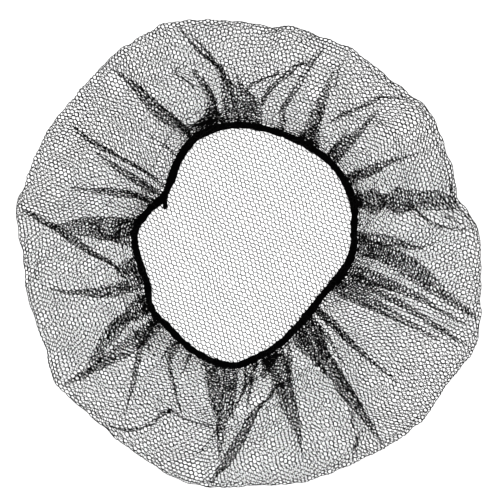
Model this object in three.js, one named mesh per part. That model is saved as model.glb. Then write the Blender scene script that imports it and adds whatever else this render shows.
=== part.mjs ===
// A honeycomb hairnet lying flat, opening up.
// Millimetres, +Z up, origin on the surface under the middle of the net.
// A flat crown lies on the surface. Its edge turns up and over, and the upper layer runs back in to
// the elastic, gathered there into folds that lie over sideways.

import * as THREE from "three";

// Driving dimensions
const wall = 1.0; // thickness of the netting, with its loft
const elasticWidth = 3.3;
const elasticHeight = 2.8;
const seamGap = 0.3; // between the netting and the elastic
const bandLevel = 9.6; // top of the netting where it meets the elastic
const hemSlant = 0.3; // how much further out the under side of its hem lies
const billow = 1.1; // rise of the upper layer half-way from the elastic to the outer edge
const footSwell = 0.35; // part of a fold's height that is left where it meets the elastic
const swellRun = 0.16; // part of a fold's length over which it grows from there to its full height
const tipWidth = 0.5; // part of a fold's width that its tip keeps
const tailWidth = 2.5;
const tailTop = { x: -46.2, y: 28.6, z: 8.6 };
const tailEnd = { x: -46.1, y: 24.4, z: 8.0 };

// Mesh density
const rowsOut = [0, 0.06, 0.16, 0.33, 0.54, 0.77, 1]; // from the elastic to the outer edge
const edgeTurn = [30, -30]; // degrees round the rolled edge, between its top and the crown
const acrossFold = [-1, -0.5, -0.12, 0.14, 0.5, 0.86, 1]; // across a fold that leans forwards
const betweenFolds = [1 / 3, 2 / 3];
const elasticSteps = 80;
const elasticSides = 8;

const table = (names, rows) =>
  rows.map((row) => Object.fromEntries(names.split(" ").map((name, i) => [name, row[i]])));

// The outer edge: corners and dents by angle, their distance from the middle and height of the edge.
const edge = table("angle radius height", [
  [0, 129.6, 6.8],
  [15, 120.6, 6.4],
  [26, 124.2, 7.0],
  [40, 128.8, 7.6],
  [50, 125.6, 7.0],
  [66, 128.6, 6.6],
  [80, 129.6, 7.2],
  [86, 127.8, 7.0],
  [99, 133.3, 6.8],
  [110, 137.0, 7.8],
  [124, 134.8, 7.0],
  [140, 130.6, 6.6],
  [155, 131.2, 7.4],
  [169, 132.8, 7.8],
  [182, 126.4, 6.8],
  [197, 125.2, 6.6],
  [215, 130.6, 7.2],
  [228, 126.6, 7.6],
  [243, 128.8, 6.8],
  [259, 133.0, 7.0],
  [275, 130.0, 6.6],
  [290, 131.8, 7.2],
  [315, 134.8, 7.8],
  [326, 133.0, 7.0],
  [338, 136.6, 7.4],
  [350, 132.2, 6.8],
]);

// The elastic round the opening: its distance from the middle. The dent at 147 is where it is joined.
const elastic = table("angle radius", [
  [0, 57.9],
  [12, 60.4],
  [24, 64.6],
  [36, 67.1],
  [48, 68.5],
  [60, 68.5],
  [78, 69.8],
  [96, 72.2],
  [108, 72.1],
  [118, 69.8],
  [128, 64.6],
  [138, 59.1],
  [147, 57.2],
  [156, 60.6],
  [169, 64.6],
  [178, 62.8],
  [196, 59.2],
  [210, 62.6],
  [222, 60.9],
  [240, 62.4],
  [262, 63.3],
  [274, 58.6],
  [288, 53.9],
  [304, 49.2],
  [324, 47.3],
  [334, 48.3],
  [346, 52.6],
]);

// The folds, in order round the opening: angle at the elastic and at the outer tip, how far from the
// middle the tip lies, width at the elastic, height, and how far the crest lies over to one side.
const folds = table("foot tip reach width lift lean", [
  [8, -15.5, 131, 10.0, 6.5, 11.0],
  [24, 15, 119, 9.0, 6.0, 9.0],
  [36.5, 30.5, 110, 7.5, 5.2, 7.0],
  [49, 47.5, 105, 7.5, 5.2, 7.0],
  [62, 64.5, 109, 8.5, 5.8, 8.0],
  [74.5, 70, 120, 6.5, 5.0, -4.0],
  [86.5, 89.5, 92, 7.5, 5.4, 7.5],
  [96, 105, 128, 7.0, 5.8, 7.0],
  [108.5, 108, 103, 8.5, 6.2, 9.0],
  [118.5, 126, 126, 7.0, 5.4, 6.5],
  [141.5, 144.5, 118, 6.0, 4.8, 5.0],
  [152, 159, 103, 6.5, 5.0, 6.0],
  [168, 169.5, 128, 12.0, 6.4, 10.5],
  [186, 176, 106, 7.5, 5.2, -7.0],
  [196.5, 190, 110, 7.0, 5.4, -6.5],
  [206, 211.5, 118, 8.5, 6.0, -8.0],
  [218, 215.5, 128, 8.5, 6.2, -8.0],
  [227.5, 232.5, 112, 6.5, 5.0, -5.5],
  [238.5, 243, 98, 6.5, 4.8, -5.5],
  [250.5, 257, 112, 8.5, 6.0, -8.0],
  [264.5, 262, 100, 7.5, 5.4, -7.0],
  [278, 268, 122, 7.5, 5.4, -6.5],
  [287, 285, 115, 8.0, 6.2, -8.5],
  [306.5, 305.2, 127, 9.5, 6.4, -10.0],
  [320, 319, 100, 7.0, 5.0, 6.0],
  [334, 333.5, 112, 7.5, 5.4, 6.5],
  [347.5, 340.5, 127, 9.0, 6.2, 8.5],
]);

const degrees = Math.PI / 180;
const smooth = (x) => x * x * (3 - 2 * x);
const mix = (a, b, x) => a + (b - a) * x;

// The value of a column at any angle, on a smooth closed curve through the table's rows.
function around(rows, column, angle) {
  const turn = ((angle % 360) + 360) % 360;
  const row = (i) => {
    const wrapped = (i + rows.length) % rows.length;
    return { angle: rows[wrapped].angle + 360 * Math.floor(i / rows.length), value: rows[wrapped][column] };
  };
  let i = rows.length - 1;
  while (rows[i].angle > turn) i -= 1;
  const [before, from, to, after] = [row(i - 1), row(i), row(i + 1), row(i + 2)];
  const span = to.angle - from.angle;
  const x = (turn - from.angle) / span;
  const leave = ((to.value - before.value) / (to.angle - before.angle)) * span;
  const arrive = ((after.value - from.value) / (after.angle - from.angle)) * span;
  const eased = smooth(x);
  return (
    mix(from.value, to.value, eased) + leave * x * (1 - x) ** 2 - arrive * x ** 2 * (1 - x)
  );
}

const edgeRadius = (angle) => around(edge, "radius", angle);
const edgeHeight = (angle) => around(edge, "height", angle);
const elasticRadius = (angle) => around(elastic, "radius", angle);

// Where the upper layer starts at the elastic and ends above the rolled edge.
const innerRadius = (angle) => elasticRadius(angle) + elasticWidth / 2 + seamGap;
const outerRadius = (angle) => edgeRadius(angle) - edgeHeight(angle) / 2;
const layerRadius = (angle, out) => mix(innerRadius(angle), outerRadius(angle), out);
const layerLevel = (angle, out) =>
  mix(bandLevel, edgeHeight(angle), smooth(out)) + billow * Math.sin(Math.PI * out);

const point = (angle, radius, z) =>
  new THREE.Vector3(radius * Math.cos(angle * degrees), radius * Math.sin(angle * degrees), z);

// How far along its own length a fold is at a fraction of the way out, 0 at its foot and 1 at its tip.
function alongFold(fold, out) {
  const start = innerRadius(fold.foot);
  const reach = (fold.reach - start) / (outerRadius(fold.tip) - start);
  return Math.min(1, out / reach);
}

const foldSwell = (along) => (1 - along) * mix(footSwell, 1, smooth(Math.min(1, along / swellRun)));

// One column of the upper layer across a fold, at a fraction of the fold's half width.
function foldColumn(fold, across, out) {
  const along = alongFold(fold, out);
  const line = mix(fold.foot, fold.tip, along);
  const halfWidth = (fold.width / 2) * mix(1, tipWidth, along);
  const radius = layerRadius(line, out);
  const crest = (1 + Math.cos(Math.PI * across)) / 2;
  const slope = (-Math.PI / 2) * Math.sin(Math.PI * across) / halfWidth;
  return {
    angle: line + (across * halfWidth) / radius / degrees,
    lift: fold.lift * foldSwell(along) * crest,
    slope: fold.lift * foldSwell(along) * slope,
    lean: fold.lean / fold.lift,
  };
}

// All columns of the upper layer: those of each fold, and those of the flat stretch up to the next.
function columnsAt(out) {
  const perFold = folds.map((fold) => {
    const steps = fold.lean < 0 ? acrossFold.map((x) => -x).reverse() : acrossFold;
    return steps.map((across) => foldColumn(fold, across, out));
  });
  return perFold.flatMap((columns, i) => {
    const last = columns[columns.length - 1].angle;
    const next = perFold[(i + 1) % perFold.length][0].angle + (i + 1 === perFold.length ? 360 : 0);
    const flat = betweenFolds.map((x) => ({ angle: mix(last, next, x), lift: 0, slope: 0, lean: 0 }));
    return [...columns, ...flat];
  });
}

// The upper side of the netting, or its under side one wall below, square to the leaning flanks.
function layerRing(out, under) {
  return columnsAt(out).map(({ angle, lift, slope, lean }) => {
    const flank = Math.hypot(1 + lean * slope, slope);
    const rise = under ? Math.max(-wall, lift - wall * Math.max(1, flank)) : lift;
    const radius = layerRadius(angle, out);
    const moved = angle + (lean * Math.max(0, rise)) / radius / degrees;
    const slant = under ? hemSlant * (1 - out) : 0;
    return point(moved, layerRadius(moved, out) + slant, layerLevel(moved, out) + rise);
  });
}

// A ring round the rolled outer edge: turn is 90 at its top and -90 where it meets the crown.
function edgeRing(turn, inset) {
  return columnsAt(1).map(({ angle }) => {
    const half = edgeHeight(angle) / 2;
    return point(
      angle,
      outerRadius(angle) + (half - inset) * Math.cos(turn * degrees),
      half + (half - inset) * Math.sin(turn * degrees),
    );
  });
}

// A closed surface through rings of equal counts. It runs between two end points, or round to its start.
function skin(rings, ends) {
  const vertices = rings.flat();
  const count = rings[0].length;
  const faces = [];
  const bands = ends ? rings.length - 1 : rings.length;
  for (let r = 0; r < bands; r += 1) {
    const here = r * count;
    const there = ((r + 1) % rings.length) * count;
    for (let c = 0; c < count; c += 1) {
      const next = (c + 1) % count;
      faces.push(here + c, here + next, there + next, here + c, there + next, there + c);
    }
  }
  if (ends) {
    const top = (rings.length - 1) * count;
    vertices.push(...ends);
    for (let c = 0; c < count; c += 1) {
      const next = (c + 1) % count;
      faces.push(vertices.length - 2, next, c, vertices.length - 1, top + c, top + next);
    }
  }
  const geometry = new THREE.BufferGeometry().setFromPoints(vertices);
  geometry.setIndex(faces);
  geometry.computeVertexNormals();
  return geometry;
}

const yarnBlack = () => new THREE.MeshStandardMaterial({ color: 0x161415, roughness: 0.7, metalness: 0 });
const elasticBlack = () => new THREE.MeshStandardMaterial({ color: 0x0b0a0b, roughness: 0.85, metalness: 0 });

function makeNet() {
  const outside = [
    edgeRing(-90, 0),
    ...[...edgeTurn].reverse().map((turn) => edgeRing(turn, 0)),
    ...[...rowsOut].reverse().map((out) => layerRing(out, false)),
  ];
  const inside = [
    ...rowsOut.map((out) => layerRing(out, true)),
    ...edgeTurn.map((turn) => edgeRing(turn, wall)),
    edgeRing(-90, wall),
  ];
  const middle = [new THREE.Vector3(0, 0, 0), new THREE.Vector3(0, 0, wall)];
  const net = new THREE.Mesh(skin([...outside, ...inside], middle), yarnBlack());
  net.name = "net";
  return net;
}

function makeElastic() {
  const middleLevel = bandLevel - wall / 2;
  const rings = Array.from({ length: elasticSteps }, (_, step) => {
    const angle = (360 * step) / elasticSteps;
    return Array.from({ length: elasticSides }, (__, side) => {
      const turn = (-2 * Math.PI * (side + 0.5)) / elasticSides;
      return point(
        angle,
        elasticRadius(angle) + (elasticWidth / 2) * Math.cos(turn),
        middleLevel + (elasticHeight / 2) * Math.sin(turn),
      );
    });
  });
  const band = new THREE.Mesh(skin(rings, null), elasticBlack());
  band.name = "elastic_band";
  return band;
}

// The short free end of the elastic, which hangs into the opening from the joint.
function makeTail() {
  const top = new THREE.Vector3(tailTop.x, tailTop.y, tailTop.z);
  const end = new THREE.Vector3(tailEnd.x, tailEnd.y, tailEnd.z);
  const length = top.distanceTo(end);
  const half = tailWidth / 2;
  const profile = [
    [0, 0],
    [half * 0.7, 0],
    [half, length * 0.15],
    [half, length * 0.85],
    [half * 0.75, length],
    [0, length],
  ].map(([x, y]) => new THREE.Vector2(x, y));
  const tail = new THREE.Mesh(new THREE.LatheGeometry(profile, 10), elasticBlack());
  tail.position.copy(end);
  tail.quaternion.setFromUnitVectors(new THREE.Vector3(0, 1, 0), top.clone().sub(end).normalize());
  tail.name = "band_tail";
  return tail;
}

const hairnet = new THREE.Group();
hairnet.add(makeNet(), makeElastic(), makeTail());

export default hairnet;
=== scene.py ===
# A black honeycomb hairnet lying flat with its opening up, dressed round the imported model.
import math

import bpy
import numpy as np
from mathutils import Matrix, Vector


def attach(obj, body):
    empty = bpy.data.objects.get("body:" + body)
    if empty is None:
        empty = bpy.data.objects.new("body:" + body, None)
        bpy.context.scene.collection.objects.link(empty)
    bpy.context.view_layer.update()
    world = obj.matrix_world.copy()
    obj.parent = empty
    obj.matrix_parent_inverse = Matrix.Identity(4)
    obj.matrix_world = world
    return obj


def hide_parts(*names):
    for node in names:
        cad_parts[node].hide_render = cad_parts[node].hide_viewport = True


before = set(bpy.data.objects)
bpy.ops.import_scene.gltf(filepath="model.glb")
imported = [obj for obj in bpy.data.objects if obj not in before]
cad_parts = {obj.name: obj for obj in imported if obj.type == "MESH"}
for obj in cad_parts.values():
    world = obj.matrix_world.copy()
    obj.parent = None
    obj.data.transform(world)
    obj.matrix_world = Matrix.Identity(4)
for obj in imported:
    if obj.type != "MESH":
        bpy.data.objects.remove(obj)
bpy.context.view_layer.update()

mm = 0.001
print("frame loaded:", ", ".join(sorted(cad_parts)))


# Small tools

def smooth(x):
    return x * x * (3 - 2 * x)


def mix(a, b, x):
    return a + (b - a) * x


def column(rows, index):
    return np.array([row[index] for row in rows], dtype=float)


# value of a table's column at any angle, on a smooth closed curve through its rows
def around(rows, index, angle):
    stops, values = column(rows, 0), column(rows, index)
    stops = np.concatenate([stops[-2:] - 360, stops, stops[:2] + 360])
    values = np.concatenate([values[-2:], values, values[:2]])
    turn = np.asarray(angle, dtype=float) % 360
    i = np.searchsorted(stops, turn, side="right") - 1
    span = stops[i + 1] - stops[i]
    x = (turn - stops[i]) / span
    leave = (values[i + 1] - values[i - 1]) / (stops[i + 1] - stops[i - 1]) * span
    arrive = (values[i + 2] - values[i]) / (stops[i + 2] - stops[i]) * span
    eased = mix(values[i], values[i + 1], smooth(x))
    return eased + leave * x * (1 - x) ** 2 - arrive * x ** 2 * (1 - x)


# degrees from one angle to another, the short way round
def turnBetween(start, end):
    return (end - start + 180) % 360 - 180


# 1 on a stretch that starts at 0, easing away past both its ends
def onStretch(place, length, ease):
    return smooth(np.clip(place / ease + 1, 0, 1)) * smooth(np.clip((length - place) / ease + 1, 0, 1))


# soft noise from a few crossing waves, about -1 to 1
def softNoise(x, y, wavelength, seed):
    waves, shortest, longest, strongest = 7, 0.7, 1.5, 3.2
    rng = np.random.default_rng(seed)
    total = 0
    for _ in range(waves):
        course, phase = rng.uniform(0, 2 * math.pi, 2)
        step = 2 * math.pi / (wavelength * rng.uniform(shortest, longest))
        total = total + np.sin(step * (x * math.cos(course) + y * math.sin(course)) + phase)
    return total / strongest


# The net's form, in millimetres, as in the solids it replaces

netForm = {
    "wall": 1.0,
    "elasticWidth": 3.3,
    "seamGap": 0.3,
    "bandLevel": 9.6,
    "billow": 1.1,
}

# angle, distance from the middle, height of the rolled edge
edgeRows = [
    (0, 129.8, 6.8), (7, 128.9, 6.8), (12, 123.6, 6.5), (15, 121.0, 6.4), (21, 123.3, 6.8),
    (30, 125.6, 7.2), (39, 128.8, 7.6), (46, 126.4, 7.2), (54, 125.9, 6.9), (64, 128.3, 6.6),
    (72, 128.2, 6.9), (81, 129.2, 7.2), (84.5, 127.4, 7.0), (90, 129.4, 6.9), (99, 132.3, 6.8),
    (110, 136.8, 7.8), (117, 135.4, 7.3), (124, 134.8, 7.0), (132, 132.0, 6.8), (141, 131.0, 6.6),
    (148, 132.0, 7.0), (155, 131.2, 7.3), (162, 130.8, 7.5), (168, 132.9, 7.8), (175, 129.0, 7.3),
    (182, 126.3, 6.8), (190, 126.1, 6.7), (198, 125.2, 6.6), (205, 125.4, 6.9), (213, 130.2, 7.3),
    (220, 128.2, 7.4), (228, 126.5, 7.5), (238, 127.8, 7.0), (245, 129.3, 7.0), (250, 131.7, 6.9),
    (259, 132.9, 7.0), (267, 130.9, 6.8), (274, 130.2, 6.6), (284, 131.7, 7.0), (297, 131.4, 7.4),
    (306, 133.0, 7.6), (316, 135.0, 7.7), (324, 133.1, 7.2), (331, 134.8, 7.0), (338, 137.4, 7.4),
    (345, 134.7, 7.0), (352, 131.4, 6.8),
]

# angle, distance of the elastic from the middle
elasticRows = [
    (0, 57.9), (12, 60.4), (24, 64.6), (36, 67.1), (48, 68.5), (60, 68.5), (78, 69.8), (96, 72.2),
    (108, 72.1), (118, 69.8), (128, 64.6), (138, 59.1), (147, 57.2), (156, 60.6), (169, 64.6),
    (178, 62.8), (196, 59.2), (210, 62.6), (222, 60.9), (240, 62.4), (262, 63.3), (274, 58.6),
    (288, 53.9), (304, 49.2), (324, 47.3), (334, 48.3), (346, 52.6),
]


def edgeHeight(angle):
    return around(edgeRows, 2, angle)


def elasticRadius(angle):
    return around(elasticRows, 1, angle)


def innerRadius(angle):
    return elasticRadius(angle) + netForm["elasticWidth"] / 2 + netForm["seamGap"]


def outerRadius(angle):
    return around(edgeRows, 1, angle) - edgeHeight(angle) / 2


def layerRun(angle):
    return outerRadius(angle) - innerRadius(angle)


# radius of the rolled edge's own curve
def rollRadius(angle):
    return edgeHeight(angle) / 2 - netForm["wall"] / 2


def layerRadius(angle, out):
    return mix(innerRadius(angle), outerRadius(angle), out)


def layerLevel(angle, out):
    flat = mix(netForm["bandLevel"], edgeHeight(angle), smooth(np.clip(out, 0, 1)))
    return flat + netForm["billow"] * np.sin(math.pi * np.clip(out, 0, 1))


# The upper layer as a fine grid, out from the elastic and round it, with its pleats

gathers = {
    "rows": 200,
    "steps": 9000,
    "tuckedIn": 0.075,  # part of the layer's run that is bound in with the elastic
    "bunched": 7.0,  # spare cloth, out from the middle, pushed up close to the elastic
    "bunchRun": 9.0,
    "crowdedAt": 1.5,  # where the crowded cloth lies, out from the elastic
    "crowdedWidth": 4.5,
    "crowdedEase": 6.0,  # degrees over which a crowded stretch starts and ends
    "smallEase": 1.5,  # the same for a small crease
    "creaseWidth": 1.3,  # cloth that turns over at a pleat, in millimetres
    "creasePart": 0.3,  # the most of the pleat's width that it may be
    "leastCrease": 0.02,  # half of it where the pleat has no width left
    "leastPleat": 0.1,
    "entries": (0.5, 0.38, 0.62),  # where the cloth enters the pleats between their creases, in turn
    "tallest": 6.4,  # pleats on top of each other level off towards this height
    "heightGain": 1.25,  # and then all stand this many times higher
    "tipHeight": 0.15,  # part of a pleat's height left at its tip
    "tipRun": 4.0,
    "footSwell": 0.35,  # part of a pleat's height left at the elastic
    "swellRun": 9.0,  # how far it takes to rise from there
    "footReach": 12.0,  # a pleat that ends further than this from the elastic dies out at both ends
    # how much more of the spare cloth the pleats and the cloth beside them take than the smooth stretches
    "pleatShare": 1.5,
    "nearShare": 5.0,
    "nearWidth": 5.0,
    "nearReach": 12.0,
    "fullPleat": 4.0,  # width from which a pleat crowds the cloth beside it as much as any
    "levelling": 16.0,  # degrees over which the elastic's gathering is even
    "mostGivenUp": 0.5,  # what a stretch may lose where a row has less cloth than its length
    "crimpWave": 3.4,
    "crimpHeight": 0.5,
    "crimpLean": 1.0,
    "crimpRun": 12.0,  # distance over which the crimps at the elastic die out
    "crimpFade": 1.4,
    "crimpWander": 1.6,
    "wanderWave": 23.0,
    "wanderAlong": 0.5,  # the wander is drawn out along the pleats
    "seed": 11,
}

# every flat pleat: the side it falls to, its height, and from its tip down to its foot the distance from
# the middle with the angles of its two creases
pleatRows = [
    (1, 6.5, (134, -17, -15.2), (123, -15.5, -12.8), (112, -14, -10.2), (101, -12.6, -5), (90, -9.6, -0.5),
     (78, -5.2, 3.5), (67, -2, 7), (60, -1, 8)),
    (1, 5.5, (104, 3.2, 3.9), (95, 1.3, 2.6), (90, 0.8, 4.6), (78, 2.2, 8), (67, 3.5, 11.5), (60, 4, 12.5)),
    (1, 4.0, (87, 1.7, 4.3), (76, 3, 6.4), (66, 5, 8.8), (60, 6, 9.6)),
    (1, 6.0, (121, 14.6, 15.3), (116, 10.8, 16.8), (109, 12.4, 19), (101, 13.6, 20.4), (90, 14.6, 23),
     (81, 16, 24.4), (74, 19.5, 26), (68, 21.5, 30)),
    (1, 4.0, (92, 17.5, 19.5), (84, 19, 22), (76, 20.5, 24.5), (68, 22, 30)),
    (1, 2.0, (121, 5.6, 6.8), (112, 6.6, 8.4), (106, 7.3, 9.6), (101, 8.8, 12.4), (97, 12.4, 15.6),
     (93, 16, 18)),
    (-1, 2.0, (121, 7.6, 8.4), (117, 7.9, 9), (114.5, 9, 11.5)),
    (1, 5.2, (109, 30.5, 31.2), (101, 31.2, 32.4), (95, 32, 33.8), (84, 31.8, 36.4), (78, 32, 38),
     (68, 33, 39)),
    (1, 3.5, (75, 34.4, 37.8), (68, 35, 38.6)),
    (1, 5.2, (106, 47.5, 48.3), (101, 47, 48.7), (92, 46.3, 49), (88, 46, 50), (81, 45.6, 52), (68, 45, 53)),
    (-1, 3.0, (88, 50.6, 51.6), (80, 50.5, 52.2), (68, 50, 52.8)),
    (-1, 2.5, (127, 42.2, 43), (120, 45, 47), (114, 49, 50.8), (107, 50.4, 52), (101, 52, 54),
     (94, 54.5, 56.5), (88, 57, 58)),
    (1, 5.8, (109, 64.3, 65.5), (101, 63.2, 66.2), (92, 61.6, 66.6), (84, 60.4, 67), (78, 59.2, 67),
     (73, 57, 67.6), (68, 55.5, 68)),
    (1, 4.0, (89, 62, 64.2), (81, 61, 63.5), (74, 59, 65), (69, 58, 67)),
    (1, 1.5, (121, 63.2, 63.8), (115, 63.6, 64.4), (106, 62.2, 62.9)),
    (-1, 4.5, (121, 69.6, 70.8), (112, 70.6, 72.8), (106, 71.3, 73.5), (100, 72, 74.3), (92, 73.2, 75.7),
     (86, 74.6, 77.2), (82, 75.2, 78), (77, 73.8, 77.2), (73, 72.5, 76.5), (70, 71.5, 77)),
    (-1, 3.0, (109.5, 72.6, 75), (107.5, 74.8, 77.2), (101, 77, 79.4), (96, 79.4, 82), (90, 81.8, 84.2),
     (85.5, 83.6, 85.8)),
    (-1, 1.8, (100.5, 80.2, 82.2), (97.5, 84.2, 86.5), (94.5, 87.2, 89.5), (91, 89.6, 91.4)),
    (1, 5.0, (98, 93, 94.4), (92, 90.4, 94), (87, 86.5, 94), (81, 84.5, 93.5), (76, 83.5, 94), (71, 82, 94)),
    (1, 3.0, (79, 89.4, 92.6), (71, 88.4, 92.4)),
    (1, 5.8, (131, 106.6, 107.3), (123, 105, 106), (115, 102.8, 104.3), (109, 99.8, 101.8),
     (104, 97.6, 100), (98, 96, 99.5), (92, 93, 100), (81, 93, 100.5), (73, 92, 101)),
    (1, 2.5, (127, 104.7, 105.2), (122, 103.4, 104.2), (115, 101.3, 102.2), (110, 99.8, 100.8)),
    (1, 3.0, (104, 97.3, 99), (96, 96.8, 98.8), (90, 95, 97), (80, 94, 96.6), (72, 93, 96)),
    (1, 6.0, (104.5, 105.8, 107.4), (100, 103.8, 106.6), (94, 102.2, 105.8), (88, 101.4, 105.4),
     (84, 101.2, 106.4), (79, 100.6, 108.5), (75, 99.5, 112), (71, 99, 113)),
    (1, 3.0, (96, 103.4, 105), (88, 102.6, 104), (80, 102, 103.8)),
    (1, 4.0, (80, 103, 106), (76, 102.5, 108), (72, 102, 113)),
    (1, 3.5, (77, 104, 114), (72, 104, 118)),
    (-1, 1.5, (107.5, 111.5, 112.7), (103.6, 109.8, 110.8), (99, 108, 108.8)),
    (1, 5.4, (126, 125.9, 126.5), (119, 124.6, 125.8), (112, 123, 125.5), (101, 121.2, 125.2),
     (95, 120.4, 125), (90, 119, 124.2), (84, 117.5, 122.6), (79, 116.2, 121), (74, 115, 119)),
    (1, 3.5, (81, 116.5, 119), (77, 113, 118.5), (73, 112, 118)),
    (1, 1.5, (85, 129.2, 129.9), (78, 128.4, 129.4), (71, 127, 128.2)),
    (1, 3.5, (120, 143.9, 144.5), (109, 143.8, 145.4), (98, 143.3, 144.6), (84, 142.2, 143.5),
     (73, 141.2, 142.6), (66, 140.2, 141.8)),
    (1, 4.5, (99.7, 146, 146.6), (94, 146.1, 147.6), (88, 145.6, 148.2), (81, 145.2, 148.6),
     (73, 144.8, 149), (62, 144.5, 149.5)),
    (1, 5.0, (102.5, 158.8, 160), (98, 158, 159.3), (92, 156.5, 158.8), (84, 153.8, 158), (78, 152.4, 157),
     (73, 151.6, 155.2), (63, 150, 154.5)),
    (1, 3.0, (70, 151, 153.6), (62, 150, 154)),
    (1, 6.4, (107.5, 171, 172.5), (101, 169.6, 173.8), (92, 167, 174.4), (84, 165.4, 174.8),
     (76, 163.4, 175.2), (70, 163, 177), (66, 162, 178)),
    (-1, 3.0, (87, 167.5, 169.5), (84, 170.5, 172.5), (81, 172.5, 174.8), (76, 171.4, 174.5),
     (70, 169.5, 172.5), (66, 168, 171)),
    (1, 3.0, (73, 164.5, 168), (66, 163, 168)),
    (-1, 5.5, (130, 168.6, 169.2), (123, 169, 170.4), (117, 169.8, 172), (112, 170.5, 172.8),
     (106, 171.2, 174.6), (101, 172.4, 176.6), (95, 174.2, 178.8), (90, 176.4, 180), (84, 179.3, 182.1),
     (78, 181.8, 184.7), (73, 185, 187.4), (71, 186, 189.5)),
    (-1, 4.0, (71, 184, 191), (67, 181.5, 192), (62, 180, 193)),
    (-1, 5.2, (110, 190, 191), (104, 191.2, 192.8), (98, 191.3, 194), (90, 192, 196), (84, 192.2, 197.6),
     (78, 192, 198.8), (70, 191.5, 198.5), (62, 190.5, 198)),
    (1, 2.0, (79, 192.8, 194.4), (73, 194.6, 196.8), (67, 197.4, 199)),
    (-1, 6.0, (107, 213.6, 215), (101, 211.4, 214.9), (92, 208, 214), (84, 205.6, 213),
     (78, 204.4, 211.6), (73, 203, 210.5), (66, 201, 210.5)),
    (-1, 4.0, (87, 206.6, 209.8), (80, 205.4, 210.2), (74, 204.6, 210), (66, 202.6, 210)),
    (-1, 6.2, (128, 214.9, 215.5), (117.6, 214.9, 217.2), (109, 214.9, 218), (101, 214.5, 219),
     (90, 214.2, 220.8), (81, 214, 222), (73, 214, 222), (64, 213.5, 222)),
    (-1, 2.5, (112, 215.8, 216.8), (107, 215, 217), (101, 214.8, 216)),
    (-1, 5.0, (112, 231.9, 232.8), (107.5, 230.8, 231.8), (101, 228.8, 230.3), (95, 226.6, 229.3),
     (90, 224.4, 227.4), (84, 221.6, 225), (79, 218.8, 222.4), (74, 217, 220.6), (68, 216, 219.6),
     (64, 215, 219)),
    (-1, 2.0, (123, 231, 232.2), (120, 233.8, 235.7), (118, 235.9, 237.6), (113, 238.1, 239.6),
     (108, 239.7, 241.1), (102, 240.8, 242.3), (98.5, 242, 244.2)),
    (-1, 2.0, (95, 246, 247.5), (90, 242.6, 244.6), (84, 239.2, 241.8), (80, 236.2, 239),
     (76, 233, 236), (72, 230.6, 234.4)),
    (-1, 1.5, (75.6, 230, 231.5), (68, 229, 231.5), (64, 229, 232)),
    (1, 1.5, (76, 240.5, 241.5), (70, 240, 241.5), (66, 239.5, 242)),
    (-1, 6.0, (90, 257.3, 260), (84, 254.6, 260.6), (78, 252.4, 260), (73, 250.4, 258.4),
     (67, 248, 256.5), (64, 246.5, 256)),
    (-1, 5.0, (115, 261.6, 262.2), (106, 260.2, 262.8), (98, 259, 262.8), (90, 258.8, 264),
     (81, 259, 265.5), (73, 258.6, 265.6), (67, 257, 266)),
    (1, 1.5, (112, 256, 257), (106, 258, 259), (100, 259, 260.5)),
    (1, 2.0, (90, 263.3, 264.8), (84, 264.8, 266.3), (78, 266.5, 268.5), (73, 268, 270)),
    (-1, 3.0, (84, 269, 270.2), (76, 269.5, 271.2), (68, 270, 273.5), (64, 271, 276)),
    (-1, 5.4, (131, 259.8, 260.7), (124, 260.8, 262.8), (119, 261.8, 265.2), (109, 263.6, 268),
     (104, 264.8, 269.5), (98, 266.8, 271), (92, 268.3, 272.8), (88, 270, 274), (84, 273.6, 276.4),
     (78.4, 278.6, 281)),
    (-1, 6.2, (115, 284.8, 285.4), (104, 284.6, 286.4), (98, 283.6, 287.2), (92, 282.6, 288),
     (81, 281, 289), (70, 280, 290.2), (60, 277, 289)),
    (-1, 4.0, (84, 283.6, 285.6), (78, 282.4, 285.2), (70, 281, 284.6), (64, 279, 284), (58, 277, 287)),
    (1, 3.5, (84, 286, 287.6), (74, 286.8, 289), (62, 287.5, 290.5)),
    (1, 2.5, (66, 288, 292), (61, 290, 294.5), (56, 292, 296)),
    (-1, 3.0, (67, 274.5, 281), (62, 276, 286), (58, 277, 291)),
    (-1, 6.4, (129, 304.9, 305.3), (120, 304.4, 306.2), (112, 304, 306.6), (101, 303.2, 307.4),
     (84, 301.8, 308.6), (70, 300.5, 310), (64, 299, 313), (57, 296.5, 316)),
    (-1, 4.0, (92, 305.6, 307.4), (84, 305.2, 307.6), (76, 304.6, 308.4), (67, 305, 310.5),
     (60, 307, 313.5)),
    (-1, 3.5, (76, 301.8, 303.8), (67, 300.8, 305), (60, 299.5, 306.5)),
    (1, 1.5, (80, 310.4, 311.4), (70, 311.4, 313.2), (60, 313, 315.6)),
    (-1, 1.8, (112, 300.6, 301.6), (106.4, 302.3, 303.3)),
    (-1, 1.5, (128, 296.6, 297.4), (123, 298, 299.5), (120, 300, 301)),
    (1, 5.0, (106, 318.8, 319.4), (95, 318.4, 319.6), (87, 317.8, 319.9), (78, 317.4, 320.4),
     (70, 317, 321.6), (57, 318, 323)),
    (1, 3.5, (68, 318.2, 320.4), (60, 318, 322)),
    (1, 5.2, (113, 335.3, 336), (101, 335.4, 337.3), (92, 335.2, 338.2), (84, 335, 339.5),
     (76, 334.8, 341), (67, 334.6, 343), (58, 335, 345)),
    (1, 5.0, (130, 336.9, 337.6), (123, 337.2, 338.4), (115, 337.6, 339.4), (104, 338.6, 341),
     (92, 340, 343), (84, 340.6, 344.3), (73, 342, 345.4), (62, 343, 346.8)),
    (1, 6.2, (126, 341.7, 342.3), (112, 342.9, 343.9), (106, 343.5, 345), (101, 344, 346.8),
     (92, 344.3, 348.2), (84, 344.8, 349.6), (70, 345, 352.5), (63, 346, 354.8), (56, 346, 355)),
    (1, 4.0, (84, 345, 346.6), (70, 345.2, 347.8), (57, 345, 351)),
]


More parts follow.
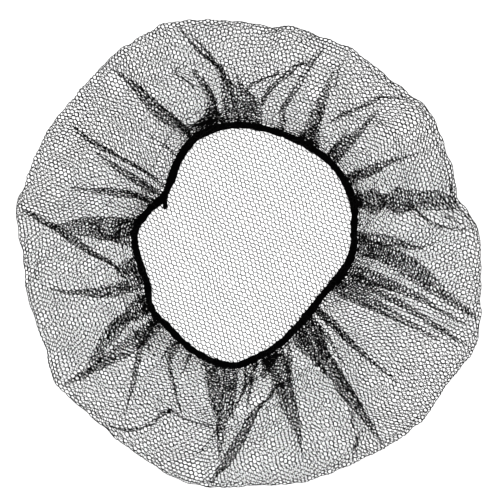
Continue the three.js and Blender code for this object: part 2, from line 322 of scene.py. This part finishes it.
# the two creases of a pleat along the layer's rows, the row's radius there, and how much of the
# pleat's width and of its height is left
def pleatCreases(stations, out):
    radii, left, right = np.array(sorted(stations), dtype=float).T
    radius = np.full(len(out), radii.mean())
    for _ in range(5):  # a row's radius depends on the angle, and the angle on the radius
        middle = (np.interp(radius, radii, left) + np.interp(radius, radii, right)) / 2
        radius = layerRadius(middle, out)
    left, right = np.interp(radius, radii, left), np.interp(radius, radii, right)
    tipRun = gathers["tipRun"]
    fade = smooth(np.clip((radii[-1] + tipRun - radius) / tipRun, 0, 1))
    if radii[0] - innerRadius(left[0]) > gathers["footReach"]:
        fade *= smooth(np.clip((radius - radii[0] + tipRun) / tipRun, 0, 1))
    along = np.clip((radius - radii[0]) / (radii[-1] - radii[0]), 0, 1)
    return left, right, radius, fade, fade * mix(1, gathers["tipHeight"], along)


def upperLayer():
    out = np.linspace(-gathers["tuckedIn"], 1, gathers["rows"])
    steps = gathers["steps"]
    angle = np.arange(steps) * 360 / steps
    rise = np.zeros((len(out), steps))
    shift = np.zeros_like(rise)
    inPleat = np.zeros_like(rise)
    nearPleat = np.zeros_like(rise)
    entries = gathers["entries"]
    for k, (side, height, *stations) in enumerate(pleatRows):
        left, right, radius, fade, swell = pleatCreases(stations, out)
        entry = entries[k % len(entries)]
        start = mix(left, right, entry)
        middle = start.mean()
        reach = np.abs(np.concatenate([left, right]) - middle).max() + gathers["nearReach"]
        near = np.abs(turnBetween(middle, angle)) < reach
        x = np.radians(turnBetween(start[:, None], angle[None, near])) * radius[:, None]
        wide = (np.radians(right - left) * radius * fade)[:, None]
        turn = np.minimum(gathers["creaseWidth"], gathers["creasePart"] * wide)
        s = np.clip(x / (turn / 2 + gathers["leastCrease"]), -1, 1)
        shift[:, near] += -np.sin(math.pi * s) * wide * np.where(s < 0, 1 - entry, entry)
        # the pleat's top layer stands over the two below it
        topPart = entry if side > 0 else 1 - entry
        onto = smooth(np.clip(1 + side * x / (wide * topPart + gathers["leastPleat"]), 0, 1))
        over = smooth(np.clip(0.5 - side * s, 0, 1))
        rise[:, near] += height * swell[:, None] * onto * over
        inPleat[:, near] += fade[:, None] * (np.abs(s) < 1)
        beside = np.exp(-(x / gathers["nearWidth"]) ** 2) * np.minimum(wide / gathers["fullPleat"], 1)
        nearPleat[:, near] = np.maximum(nearPleat[:, near], fade[:, None] * beside)
    out = out[:, None]
    angle = angle[None, :]
    radius = layerRadius(angle, out)
    fromElastic = np.clip(radius - innerRadius(angle), 0, None)
    grown = smooth(np.clip(fromElastic / gathers["swellRun"], 0, 1))
    rise = gathers["tallest"] * (1 - np.exp(-rise / gathers["tallest"])) * gathers["heightGain"]
    rise *= mix(gathers["footSwell"], 1, grown)
    walk = np.radians(angle) * innerRadius(angle)
    wander = softNoise(walk, radius * gathers["wanderAlong"], gathers["wanderWave"], gathers["seed"])
    crimp = np.sin(2 * math.pi * walk / gathers["crimpWave"] + gathers["crimpWander"] * wander)
    crimp *= np.exp(-(fromElastic / gathers["crimpRun"]) ** gathers["crimpFade"])
    rise += gathers["crimpHeight"] * crimp
    shift += gathers["crimpLean"] * crimp
    moved = angle + np.degrees(shift / radius)
    radius = layerRadius(moved, out)
    z = layerLevel(moved, out) - netForm["wall"] / 2 + rise
    x, y = radius * np.cos(np.radians(moved)), radius * np.sin(np.radians(moved))
    dense = gathers["pleatShare"] * inPleat + gathers["nearShare"] * nearPleat
    return out, dense, np.stack([x, y, z], axis=2)


# average round each row over a few degrees
def levelled(rows):
    steps = rows.shape[1]
    waves = np.fft.rfftfreq(steps, 1 / steps)
    spread = math.radians(gathers["levelling"])
    return np.fft.irfft(np.fft.rfft(rows, axis=1) * np.exp(-(waves * spread) ** 2 / 2), steps, axis=1)


# small creases that run round rather than out: spare cloth caught up in each, its width, and along it
# the angles and distances from the middle
creaseRows = [
    (3.2, 1.7, (240, 101), (242, 98.3), (244, 97.2), (248, 98.2), (253, 97.6)),
    (1.6, 1.5, (232, 123.2), (234.5, 120.5), (238, 117.5)),
    (1.8, 1.6, (70.5, 111.3), (73, 110.6), (76, 109)),
    (1.2, 1.5, (79, 113.5), (84, 108.5), (88, 105.5), (93, 103)),
    (1.2, 1.5, (76, 120.5), (78, 123), (79, 127)),
    (1.1, 1.5, (23, 98), (27, 97), (31, 99.5)),
    (1.0, 1.5, (22, 86), (28, 87), (37, 86.5)),
    (1.0, 1.5, (33, 102), (37, 103.5), (44, 104)),
    (1.4, 1.5, (49, 97.5), (52, 95.5), (56, 94)),
    (1.3, 1.5, (107, 102.5), (110, 106), (113, 108)),
    (1.2, 1.5, (253, 116), (256, 111.5), (259, 106.5)),
    (1.1, 1.5, (267, 100), (272, 101.5), (277, 107)),
    (1.3, 1.6, (289, 127.5), (293, 124.5), (299, 122)),
    (1.3, 1.5, (298, 124), (301, 114), (304, 106)),
    (1.0, 1.5, (277, 119), (282, 120), (288, 118.5)),
    (1.5, 1.6, (184, 118), (187, 120), (190, 114)),
    (1.3, 1.6, (110, 88), (114, 92), (118, 94)),
]


# stretches along the elastic where more cloth is crowded up against it: how much, from one angle to another
crowdedRows = [
    (1, 10, 19), (1.5, 41, 52), (1.5, 71, 84), (1, 100, 110), (1.5, 174, 178), (2, 185, 192),
    (2.5, 206, 214), (2.5, 257, 276),
]


# where on its run each crease crosses an angle, and how much of it is left there
def creasesAt(angle, run):
    found = []
    for spare, first, last in crowdedRows:
        left = onStretch(turnBetween(first, angle), last - first, gathers["crowdedEase"])
        found.append((gathers["crowdedAt"] / run, gathers["crowdedWidth"] / run, spare * left))
    for spare, width, *stations in creaseRows:
        angles, radii = np.array(stations, dtype=float).T
        turn = turnBetween(angles[0], angle)
        left = onStretch(turn, angles[-1] - angles[0], gathers["smallEase"])
        radius = np.interp(turn, angles - angles[0], radii)
        found.append(((radius - innerRadius(angle)) / run, width / run, spare * left))
    return found


# how far out on the flat disc the cloth at a part of the layer's run comes from, past the rolled edge
def bunchedRun(out, run, creases):
    close = np.exp(-np.clip(out, 0, None) * run / gathers["bunchRun"])
    past = (1 - out) * run + gathers["bunched"] * close
    for middle, width, spare in creases:
        past = past + spare * (1 - smooth(np.clip((out - middle) / width + 0.5, 0, 1)))
    return past


# the part of the run at which the cloth that far past the rolled edge lies
def outAt(angle, past, run):
    creases = creasesAt(angle, run)
    inward, halvings = -0.2, 16
    low, high = np.full_like(past, inward), np.ones_like(past)
    for _ in range(halvings):
        middle = (low + high) / 2
        short = bunchedRun(middle, run, creases) > past
        low, high = np.where(short, middle, low), np.where(short, high, middle)
    return high


# The same layer by the netting's own angle. The flat disc is longer round each row than the row
# it is gathered into, and the spare cloth goes mostly into the folds
def layerByCloth():
    out, dense, points = upperLayer()
    steps = gathers["steps"]
    length = np.linalg.norm(np.roll(points, -1, axis=1) - points, axis=2)
    angle = np.arange(steps)[None, :] * 360 / steps
    run = layerRun(angle)
    reach = outerRadius(angle) + math.pi * rollRadius(angle) + bunchedRun(out, run, creasesAt(angle, run))
    share = length / reach
    takes = (1 + dense) * share
    spare = (2 * math.pi / steps - levelled(share)) / levelled(takes)
    taken = share + np.clip(spare, -gathers["mostGivenUp"], None) * takes
    fullness = length.sum(axis=1), (taken * reach).sum(axis=1)
    onDisc = np.cumsum(taken, axis=1)
    onDisc = np.degrees((onDisc - onDisc[:, :1]) * 2 * math.pi / onDisc[:, -1:])
    onDisc += np.mean(angle - onDisc, axis=1)[:, None]
    rounds = np.arange(steps) * 360 / steps
    grid = np.empty((len(out), steps, 3))
    for r, row in enumerate(points):
        for axis in range(3):
            grid[r, :, axis] = np.interp(rounds, onDisc[r], row[:, axis], period=360)
    return out[:, 0], grid, fullness


outRows, clothGrid, rowFullness = layerByCloth()
for r in range(5, gathers["rows"], 30):
    print("row at", round(outRows[r], 2), "length round the folds", round(rowFullness[0][r]),
          "mm, cloth taken", round(rowFullness[1][r]), "mm")


hem = {
    "point": 1.5,  # 1 rolls the hem round, 2 folds it to an edge
    "ragged": 0.55,
    "wave": 11.0,
    "seed": 14,
}


# where a point of the flat cloth lies, by its distance and angle from the middle of the disc
def layCloth(x, y):
    reach, angle = np.hypot(x, y), np.degrees(np.arctan2(y, x)) % 360
    edgeStart, run, rolled = outerRadius(angle), layerRun(angle), rollRadius(angle)
    past = reach - edgeStart - math.pi * rolled
    out = 1 - past / run
    upper = past > 0
    farthestOut = 0.9999  # the upper layer starts just short of the rolled edge
    out[upper] = np.minimum(outAt(angle[upper], past[upper], run[upper]), farthestOut)
    turn = np.clip((reach - edgeStart) / (math.pi * rolled), 0, 1) * math.pi - math.pi / 2
    nose = np.cos(turn) ** hem["point"]
    lift = np.sign(turn) * np.abs(np.sin(turn)) ** hem["point"]
    ragged = hem["ragged"] * softNoise(x, y, hem["wave"], hem["seed"]) * nose
    radius = edgeStart + rolled * nose + ragged
    heading = np.radians(angle)
    level = edgeHeight(angle) / 2 + rolled * lift
    onEdge = np.stack([radius * np.cos(heading), radius * np.sin(heading), level], axis=-1)
    crown = np.stack([x, y, np.full_like(x, netForm["wall"] / 2)], axis=-1)
    # the grid's rows and steps round the point, and how far it is past the lower of each
    row = np.clip((out - outRows[0]) / (outRows[1] - outRows[0]), 0, len(outRows) - 1.001)
    step = angle / 360 * gathers["steps"]
    r, s = row.astype(int), step.astype(int)
    fr, fs = (row - r)[..., None], (step - s)[..., None]
    s, s1 = s % gathers["steps"], (s + 1) % gathers["steps"]
    above = mix(mix(clothGrid[r, s], clothGrid[r, s1], fs),
                mix(clothGrid[r + 1, s], clothGrid[r + 1, s1], fs), fr)
    place = np.where((reach < edgeStart)[..., None], crown, onEdge)
    place = np.where((out < 1)[..., None], above, place)
    return place, out


# The netting: zigzag yarns in pairs, bound side by side where they meet

netting = {
    "pitchAcross": 2.36,
    "angleAcross": 41.5,
    "pitchAlong": 2.62,
    "angleAlong": 104.8,
    "bindingLength": 1.5,  # where two yarns run side by side
    "bindingOffset": 0.07,
    "yarnThickness": 0.53,
    "yarnSides": 3,
    "yarnLevel": 0.32,  # how high the crown's yarns lie
    "clearance": 0.01,
    "levelUnevenness": 0.12,
    "levelWave": 14.0,
    "waver": 0.5,
    "waverLength": 30.0,
    "upperWaver": 1.1,  # the gathered layer has slipped further
    "waverFrom": 132.0,
    "waverRun": 20.0,
    "unevenness": 0.09,
    "farthest": 232.0,  # past the hem on every side
    # where the yarns end under the elastic, as a part of what is tucked in
    "endsAt": 0.84,
    "endsRagged": 0.14,
    "endsWave": 3.0,
    "shortest": 5,  # points that a run of yarn has at the least
    "pieces": ["net_left", "net_mid_left", "net_mid_right", "net_right"],
    "seed": 5,
}


def stepAt(length, angle):
    return length * np.array([math.cos(math.radians(angle)), math.sin(math.radians(angle))])


# flat zigzag of every yarn: a binding in one column, then one in the next, and back
def yarnRows():
    across = stepAt(netting["pitchAcross"], netting["angleAcross"])
    along = stepAt(netting["pitchAlong"], netting["angleAlong"])
    wale = 2 * along - across
    repeat = np.linalg.norm(wale)
    waleUnit = wale / repeat
    side = np.array([waleUnit[1], -waleUnit[0]]) * netting["bindingOffset"]
    halfBinding = waleUnit * netting["bindingLength"] / 2
    apart = abs(across[0] * along[1] - across[1] * along[0]) / repeat
    span = int(netting["farthest"] / apart) + 2
    count = int(netting["farthest"] / repeat) + 2
    rng = np.random.default_rng(netting["seed"])
    nudge = rng.normal(0, netting["unevenness"], (2 * span + 4, 4 * count + 8 + 2 * span, 2, 2))
    ends = np.array([-1.0, 1.0])[:, None] * halfBinding
    for n in range(-span, span):
        j = 2 * np.arange(-count, count) + n % 2
        # keep each yarn's middle near the disc's middle
        j = j + 2 * int(round(n * np.dot(across, waleUnit) / 2 / -repeat))
        i = (n - j) // 2
        first = i[:, None] * across + j[:, None] * along
        second = first + along
        rows = np.stack([first[:, None] + ends + side, second[:, None] + ends - side], axis=1)
        wobble = np.stack([nudge[n + span, j % nudge.shape[1]],
                           nudge[n + span + 1, (j + 1) % nudge.shape[1]]], axis=1)
        yield (rows + wobble).reshape(-1, 2)


# runs of a yarn that lie on the disc, laid over the form
def laidYarns():
    runs = []
    for flat in yarnRows():
        x, y = flat[:, 0], flat[:, 1]
        wave = netting["waverLength"]
        upper = smooth(np.clip((np.hypot(x, y) - netting["waverFrom"]) / netting["waverRun"], 0, 1))
        waver = mix(netting["waver"], netting["upperWaver"], upper)
        x = x + waver * softNoise(flat[:, 0], flat[:, 1], wave, netting["seed"] + 1)
        y = y + waver * softNoise(flat[:, 0], flat[:, 1], wave, netting["seed"] + 2)
        place, out = layCloth(x, y)
        uneven = netting["levelUnevenness"] * softNoise(x, y, netting["levelWave"], netting["seed"] + 3)
        resting = netting["yarnThickness"] / 2 + netting["clearance"]
        lowest = np.maximum(netting["yarnLevel"] + uneven, resting)
        onCrown = out >= 1
        place[onCrown, 2] = np.maximum(place[onCrown, 2] - netForm["wall"] / 2, 0) + lowest[onCrown]
        ragged = netting["endsRagged"] * softNoise(x, y, netting["endsWave"], netting["seed"] + 4)
        inside = out > -gathers["tuckedIn"] * (netting["endsAt"] + ragged)
        cuts = np.flatnonzero(np.diff(inside.astype(int))) + 1
        for part, flag in zip(np.split(place, cuts), np.split(inside, cuts)):
            if flag[0] and len(part) >= netting["shortest"]:
                runs.append(part)
    return runs


def meshOfRuns(name, runs):
    points = np.concatenate(runs) * mm
    starts = np.cumsum([0] + [len(run) for run in runs])
    edges = np.concatenate([
        np.stack([np.arange(a, b - 1), np.arange(a + 1, b)], axis=1)
        for a, b in zip(starts[:-1], starts[1:])])
    mesh = bpy.data.meshes.new(name)
    mesh.from_pydata(points.tolist(), edges.tolist(), [])
    return mesh


def placed(name, mesh):
    piece = bpy.data.objects.new(name, mesh)
    bpy.context.scene.collection.objects.link(piece)
    return piece


def triangles(piece):
    return sum(len(face.vertices) - 2 for face in piece.data.polygons)


# Node trees

class Tree:
    def __init__(self, tree):
        self.tree = tree

    # a node of a type, its settings first, then the values or links of its sockets
    def node(self, kind, settings=None, **sockets):
        made = self.tree.nodes.new(kind)
        for name, value in (settings or {}).items():
            setattr(made, name, value)
        for name, value in sockets.items():
            self.feed(self.socket(made.inputs, name), value)
        return made

    # a socket by its name in camelCase, or by its number after an underscore
    def socket(self, sockets, name):
        if name.startswith("_"):
            return sockets[int(name[1:])]
        wanted = name.lower()
        for socket in sockets:
            if socket.enabled and socket.name.replace(" ", "").lower() == wanted:
                return socket
        raise KeyError(name)

    def feed(self, socket, value):
        if isinstance(value, Sock):
            value = value.out
        if isinstance(value, bpy.types.NodeSocket):
            self.tree.links.new(value, socket)
        else:
            socket.default_value = value

    def take(self, made, name="_0"):
        return Sock(self, self.socket(made.outputs, name))


# a socket that takes part in sums and products
class Sock:
    def __init__(self, tree, out):
        self.tree, self.out = tree, out

    def combine(self, operation, a, b):
        made = self.tree.node("ShaderNodeMath", {"operation": operation}, _0=a, _1=b)
        return self.tree.take(made)

    def __add__(self, other):
        return self.combine("ADD", self, other)

    def __radd__(self, other):
        return self.combine("ADD", other, self)

    def __mul__(self, other):
        return self.combine("MULTIPLY", self, other)

    def __rmul__(self, other):
        return self.combine("MULTIPLY", other, self)


def newGeometryTree(name, inputs):
    tree = bpy.data.node_groups.new(name, "GeometryNodeTree")
    tree.interface.new_socket("Geometry", in_out="INPUT", socket_type="NodeSocketGeometry")
    for label, kind in inputs:
        tree.interface.new_socket(label, in_out="INPUT", socket_type=kind)
    tree.interface.new_socket("Geometry", in_out="OUTPUT", socket_type="NodeSocketGeometry")
    kit = Tree(tree)
    start = tree.nodes.new("NodeGroupInput")
    return kit, start


def endTree(kit, geometry, material):
    whole = kit.node("GeometryNodeRealizeInstances", _0=geometry)
    dressed = kit.node("GeometryNodeSetMaterial", _0=whole.outputs[0], material=material)
    finish = kit.tree.nodes.new("NodeGroupOutput")
    kit.tree.links.new(dressed.outputs[0], finish.inputs[0])


# runs the tree on a piece and leaves a plain mesh
def grow(piece, tree, values):
    modifier = piece.modifiers.new("grow", "NODES")
    modifier.node_group = tree
    for item in tree.interface.items_tree:
        if item.in_out == "INPUT" and item.name in values:
            modifier[item.identifier] = values[item.name]
    piece.update_tag()
    graph = bpy.context.evaluated_depsgraph_get()
    graph.update()
    mesh = bpy.data.meshes.new_from_object(piece.evaluated_get(graph))
    mesh.name = piece.name
    piece.modifiers.remove(modifier)
    piece.data = mesh


# yarns of one thickness along every run of edges
def yarnTree():
    kit, start = newGeometryTree("yarns", [
        ("Thickness", "NodeSocketFloat"), ("Sides", "NodeSocketInt"), ("Finish", "NodeSocketMaterial")])
    curve = kit.node("GeometryNodeMeshToCurve", _0=start.outputs["Geometry"])
    radius = kit.take(start, "Thickness") * 0.5
    section = kit.node("GeometryNodeCurvePrimitiveCircle", {"mode": "RADIUS"},
                       resolution=start.outputs["Sides"], radius=radius)
    tube = kit.node("GeometryNodeCurveToMesh", curve=curve.outputs[0],
                    profileCurve=section.outputs[0], fillCaps=True)
    soft = kit.node("GeometryNodeSetShadeSmooth", _0=tube.outputs[0])
    endTree(kit, soft.outputs[0], start.outputs["Finish"])
    return kit.tree


# Finishes

def newFinish(name):
    material = bpy.data.materials.new(name)
    material.use_nodes = True
    material.node_tree.nodes.clear()
    return material, Tree(material.node_tree)


def finishSurface(kit, **sockets):
    surface = kit.node("ShaderNodeBsdfPrincipled", None, **sockets)
    output = kit.tree.nodes.new("ShaderNodeOutputMaterial")
    kit.tree.links.new(surface.outputs[0], output.inputs[0])


def noiseOf(kit, where, scale, detail=2.0):
    made = kit.node("ShaderNodeTexNoise", None, vector=where, scale=scale, detail=detail)
    return kit.take(made, "fac")


yarnLook = {
    "darkest": (0.003, 0.003, 0.003, 1),
    "palest": (0.012, 0.011, 0.012, 1),
    "patchScale": 60.0,
    "grainScale": 5200.0,  # the yarn's filaments
    "grainDetail": 2.0,
    "bumpStrength": 0.5,
    "bumpDepth": 0.00004,
    "roughness": 0.5,
    "roughnessSpread": 0.3,
    "gloss": 0.2,
}

elasticLook = {
    "darkest": (0.0015, 0.0015, 0.0015, 1),
    "palest": (0.006, 0.0055, 0.006, 1),
    "patchScale": 90.0,
    "grainScale": 2600.0,  # the thread's fuzz
    "grainDetail": 4.0,
    "bumpStrength": 0.8,
    "bumpDepth": 0.00012,
    "roughness": 0.75,
    "roughnessSpread": 0.2,
    "gloss": 0.08,
}


# dyed fibre, a little paler in patches, with a fine grain
def fibreFinish(name, look):
    material, kit = newFinish(name)
    where = kit.take(kit.node("ShaderNodeTexCoord"), "object")
    patches = noiseOf(kit, where, look["patchScale"])
    grain = noiseOf(kit, where, look["grainScale"], look["grainDetail"])
    shade = kit.node("ShaderNodeMix", {"data_type": "RGBA"}, factor=patches,
                     a=look["darkest"], b=look["palest"])
    bump = kit.node("ShaderNodeBump", None, strength=look["bumpStrength"], distance=look["bumpDepth"],
                    height=grain)
    finishSurface(kit, baseColor=kit.take(shade, "result"),
                  roughness=look["roughness"] + grain * look["roughnessSpread"],
                  specularIorLevel=look["gloss"], normal=kit.take(bump))
    return material


yarnBlack = fibreFinish("nylon yarn", yarnLook)
elasticBlack = fibreFinish("covered elastic", elasticLook)


def makeNet():
    runs = laidYarns()
    total = sum(len(run) for run in runs)
    tree = yarnTree()
    names = netting["pieces"]
    groups = [[] for _ in names]
    passed = 0
    for run in runs:
        groups[min(len(names) - 1, passed * len(names) // total)].append(run)
        passed += len(run)
    pieces = []
    for name, group in zip(names, groups):
        piece = placed(name, meshOfRuns(name, group))
        grow(piece, tree, {"Thickness": netting["yarnThickness"] * mm, "Sides": netting["yarnSides"],
                           "Finish": yarnBlack})
        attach(piece, "root")
        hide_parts("net")
        pieces.append(piece)
        print(name, len(group), "runs of yarn,", triangles(piece), "triangles")
    return pieces


netPieces = makeNet()


# The elastic, bound in with close stitches, and the free end that is left over from joining it

elastic = {
    "width": 3.8,  # with its thread
    "height": 2.8,
    "inward": 0.35,  # how far the thread pulls it in from the solid's middle line
    "level": 9.1,
    "steps": 900,
    "sides": 14,
    "stitchPitch": 0.8,
    "ringSides": 14,
    "threadThickness": 0.34,
    "threadSides": 5,
    "slant": 0.35,
    "leastSlant": 0.6,  # part of the slant that every ring has
    "ringSizes": (0.97, 1.09),
    "wander": 0.15,
    "wanderWave": 9.0,
    "rise": 0.12,
    "riseWave": 14.0,
    "unevenness": 0.11,
    "unevenWave": 7.0,
    "fineUnevenness": 0.066,
    "fineWave": 2.6,
    "noiseRadius": 70.0,
    "seed": 3,
    # where more is caught up with it: angle, spread in degrees, extra width
    "thickened": [(2, 6, 0.2), (30, 5, 0.2), (108, 6, 0.25), (122, 5, 0.2), (135, 5, 0.25),
                  (148.5, 3.2, 0.38), (165, 5, 0.15), (316, 7, 0.25), (346, 7, 0.3)],
}

tail = {
    "width": 2.8,
    "height": 2.4,
    "stitchPitch": 0.85,
    "path": [(-47.9, 33.0, 9.1), (-47.2, 30.8, 9.1), (-46.6, 28.6, 8.9), (-46.3, 26.6, 8.5),
             (-46.2, 24.8, 8.1)],
    "steps": 24,
    "unevenness": 0.08,
    "taper": (0.9, 0.7),
}


# a line of edges with the part of the full width that the binding has at each point
def bindingPath(name, points, fullness, closed):
    steps = len(points)
    edges = [(i, (i + 1) % steps) for i in range(steps if closed else steps - 1)]
    mesh = bpy.data.meshes.new(name)
    mesh.from_pydata((points * mm).tolist(), edges, [])
    mesh.attributes.new("fullness", "FLOAT", "POINT").data.foreach_set("value", fullness)
    return mesh


def elasticPath():
    angle = np.linspace(0, 360, elastic["steps"], endpoint=False)
    turn = np.radians(angle)
    along, across = elastic["noiseRadius"] * np.cos(turn), elastic["noiseRadius"] * np.sin(turn)
    seed = elastic["seed"]
    wander = elastic["wander"] * softNoise(along, across, elastic["wanderWave"], seed)
    radius = elasticRadius(angle) - elastic["inward"] + wander
    level = elastic["level"] + elastic["rise"] * softNoise(along, across, elastic["riseWave"], seed + 1)
    fullness = 1 + elastic["unevenness"] * softNoise(along, across, elastic["unevenWave"], seed + 2)
    fullness += elastic["fineUnevenness"] * softNoise(along, across, elastic["fineWave"], seed + 3)
    for middle, spread, extra in elastic["thickened"]:
        fullness += extra * np.exp(-(turnBetween(middle, angle) / spread) ** 2)
    points = np.stack([radius * np.cos(turn), radius * np.sin(turn), level], axis=1)
    return bindingPath("elastic path", points, fullness, True)


def tailPath():
    corners = np.array(tail["path"])
    places = np.linspace(0, len(corners) - 1, tail["steps"])
    points = np.stack([np.interp(places, np.arange(len(corners)), corners[:, k]) for k in range(3)], axis=1)
    fullness = 1 + tail["unevenness"] * softNoise(places * 2, places, 2, elastic["seed"] + 5)
    fullness[-len(tail["taper"]):] *= tail["taper"]
    return bindingPath("tail path", points, fullness, False)


# an oval core with a slanted ring of thread every pitch
def boundElasticTree():
    kit, start = newGeometryTree("bound elastic", [
        ("Width", "NodeSocketFloat"), ("Height", "NodeSocketFloat"), ("Pitch", "NodeSocketFloat"),
        ("Thread", "NodeSocketFloat"), ("Slant", "NodeSocketFloat"), ("Sides", "NodeSocketInt"),
        ("Finish", "NodeSocketMaterial")])
    path = kit.node("GeometryNodeMeshToCurve", _0=start.outputs["Geometry"])
    fullness = kit.node("GeometryNodeInputNamedAttribute", {"data_type": "FLOAT"}, name="fullness")
    halfWidth, halfHeight = kit.take(start, "Width") * 0.5, kit.take(start, "Height") * 0.5
    circle = kit.node("GeometryNodeCurvePrimitiveCircle", {"mode": "RADIUS"},
                      resolution=start.outputs["Sides"], radius=1.0)
    oval = kit.node("ShaderNodeCombineXYZ", None, x=halfWidth, y=halfHeight, z=1.0)
    section = kit.node("GeometryNodeTransform", None, _0=circle.outputs[0], scale=oval.outputs[0])
    core = kit.node("GeometryNodeCurveToMesh", curve=path.outputs[0], profileCurve=section.outputs[0],
                    scale=fullness.outputs[0], fillCaps=True)
    # the rings
    ring = kit.node("GeometryNodeCurvePrimitiveCircle", {"mode": "RADIUS"},
                    resolution=elastic["ringSides"], radius=1.0)
    ringOval = kit.node("GeometryNodeTransform", None, _0=ring.outputs[0], scale=oval.outputs[0])
    thread = kit.node("GeometryNodeCurvePrimitiveCircle", {"mode": "RADIUS"},
                      resolution=elastic["threadSides"], radius=kit.take(start, "Thread") * 0.5)
    loop = kit.node("GeometryNodeCurveToMesh", curve=ringOval.outputs[0], profileCurve=thread.outputs[0])
    stations = kit.node("GeometryNodeResampleCurve", {"mode": "LENGTH"}, curve=path.outputs[0],
                        length=start.outputs["Pitch"])
    tangent = kit.node("GeometryNodeInputTangent")
    facing = kit.node("FunctionNodeAlignRotationToVector", {"axis": "Z"}, vector=tangent.outputs[0])
    upright = kit.node("FunctionNodeAlignRotationToVector", {"axis": "Y", "pivot_axis": "Z"},
                       rotation=facing.outputs[0], vector=(0, 0, 1))
    spread = kit.node("FunctionNodeRandomValue", {"data_type": "FLOAT"},
                      min=kit.take(start, "Slant") * elastic["leastSlant"],
                      max=start.outputs["Slant"], seed=elastic["seed"])
    tilt = kit.node("ShaderNodeCombineXYZ", None, x=0.0, y=kit.take(spread, "value"), z=0.0)
    tiltTurn = kit.node("FunctionNodeEulerToRotation", _0=tilt.outputs[0])
    turned = kit.node("FunctionNodeRotateRotation", {"rotation_space": "LOCAL"},
                      rotation=upright.outputs[0], rotateBy=tiltTurn.outputs[0])
    smallest, largest = elastic["ringSizes"]
    size = kit.node("FunctionNodeRandomValue", {"data_type": "FLOAT"}, min=smallest, max=largest,
                    seed=elastic["seed"] + 1)
    ringSize = kit.take(size, "value") * kit.take(fullness)
    rings = kit.node("GeometryNodeInstanceOnPoints", None, points=stations.outputs[0],
                     instance=loop.outputs[0], rotation=turned.outputs[0], scale=ringSize)
    joined = kit.node("GeometryNodeJoinGeometry")
    kit.tree.links.new(core.outputs[0], joined.inputs[0])
    kit.tree.links.new(rings.outputs[0], joined.inputs[0])
    soft = kit.node("GeometryNodeSetShadeSmooth", _0=joined.outputs[0])
    endTree(kit, soft.outputs[0], start.outputs["Finish"])
    return kit.tree


def makeBinding(name, path, form, node):
    piece = placed(name, path)
    grow(piece, bindingTree, {
        "Width": form["width"] * mm, "Height": form["height"] * mm,
        "Pitch": form["stitchPitch"] * mm, "Thread": elastic["threadThickness"] * mm,
        "Slant": elastic["slant"], "Sides": elastic["sides"], "Finish": elasticBlack})
    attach(piece, "root")
    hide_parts(node)
    print(name, triangles(piece), "triangles")


bindingTree = boundElasticTree()
makeBinding("bound_elastic", elasticPath(), elastic, "elastic_band")
makeBinding("bound_tail", tailPath(), tail, "band_tail")


# Floor, light and camera

studio = {
    "floorSize": 8.0,
    "cameraHeight": 1.9,
    "sensor": 36.0,
    "viewWidth": 0.2795,  # stretch of the surface that the picture's width shows
    "centre": (0.00084, 0.00196),
    "floorGlow": 1.15,  # a lit table, so that the netting's own shadow stays faint
    "floorDark": (0.86, 0.86, 0.86, 1),
    "floorPale": (0.9, 0.9, 0.9, 1),
    "floorGrain": 40.0,
    "floorRoughness": 0.8,
    "sky": 0.12,
    # place, size and power of each soft light
    "key": ((-0.7, 0.8, 1.5), 1.4, 2.0),
    "fill": ((0.9, -0.6, 1.3), 1.2, 1.2),
}


def floorFinish():
    material, kit = newFinish("pale floor")
    where = kit.take(kit.node("ShaderNodeTexCoord"), "object")
    grain = noiseOf(kit, where, studio["floorGrain"], 3.0)
    shade = kit.node("ShaderNodeMix", {"data_type": "RGBA"}, factor=grain,
                     a=studio["floorDark"], b=studio["floorPale"])
    finishSurface(kit, baseColor=kit.take(shade, "result"), roughness=studio["floorRoughness"],
                  specularIorLevel=0.0, emissionColor=(1, 1, 1, 1), emissionStrength=studio["floorGlow"])
    return material


def makeStage():
    half = studio["floorSize"] / 2
    corners = [(-half, -half, 0), (half, -half, 0), (half, half, 0), (-half, half, 0)]
    mesh = bpy.data.meshes.new("floor")
    mesh.from_pydata(corners, [], [(0, 1, 2, 3)])
    mesh.materials.append(floorFinish())
    floor = placed("floor", mesh)
    world = bpy.data.worlds.new("studio")
    world.use_nodes = True
    sky = world.node_tree.nodes["Background"]
    sky.inputs["Color"].default_value = (1, 1, 1, 1)
    sky.inputs["Strength"].default_value = studio["sky"]
    bpy.context.scene.world = world


# a round light that faces the middle of the net
def softLight(name):
    place, size, power = studio[name]
    light = bpy.data.lights.new(name, "AREA")
    light.shape = "DISK"
    light.size = size
    light.energy = power
    lamp = bpy.data.objects.new(name, light)
    lamp.location = place
    lamp.rotation_euler = (-Vector(place)).to_track_quat("-Z", "Y").to_euler()
    bpy.context.scene.collection.objects.link(lamp)


def makeCamera():
    camera = bpy.data.objects.new("camera", bpy.data.cameras.new("camera"))
    data = camera.data
    data.sensor_width = studio["sensor"]
    data.lens = data.sensor_width * studio["cameraHeight"] / studio["viewWidth"]
    camera.location = (*studio["centre"], studio["cameraHeight"])
    bpy.context.scene.collection.objects.link(camera)
    bpy.context.scene.camera = camera


makeStage()
softLight("key")
softLight("fill")
makeCamera()
bpy.context.scene.view_settings.view_transform = "Standard"
print("stage set")
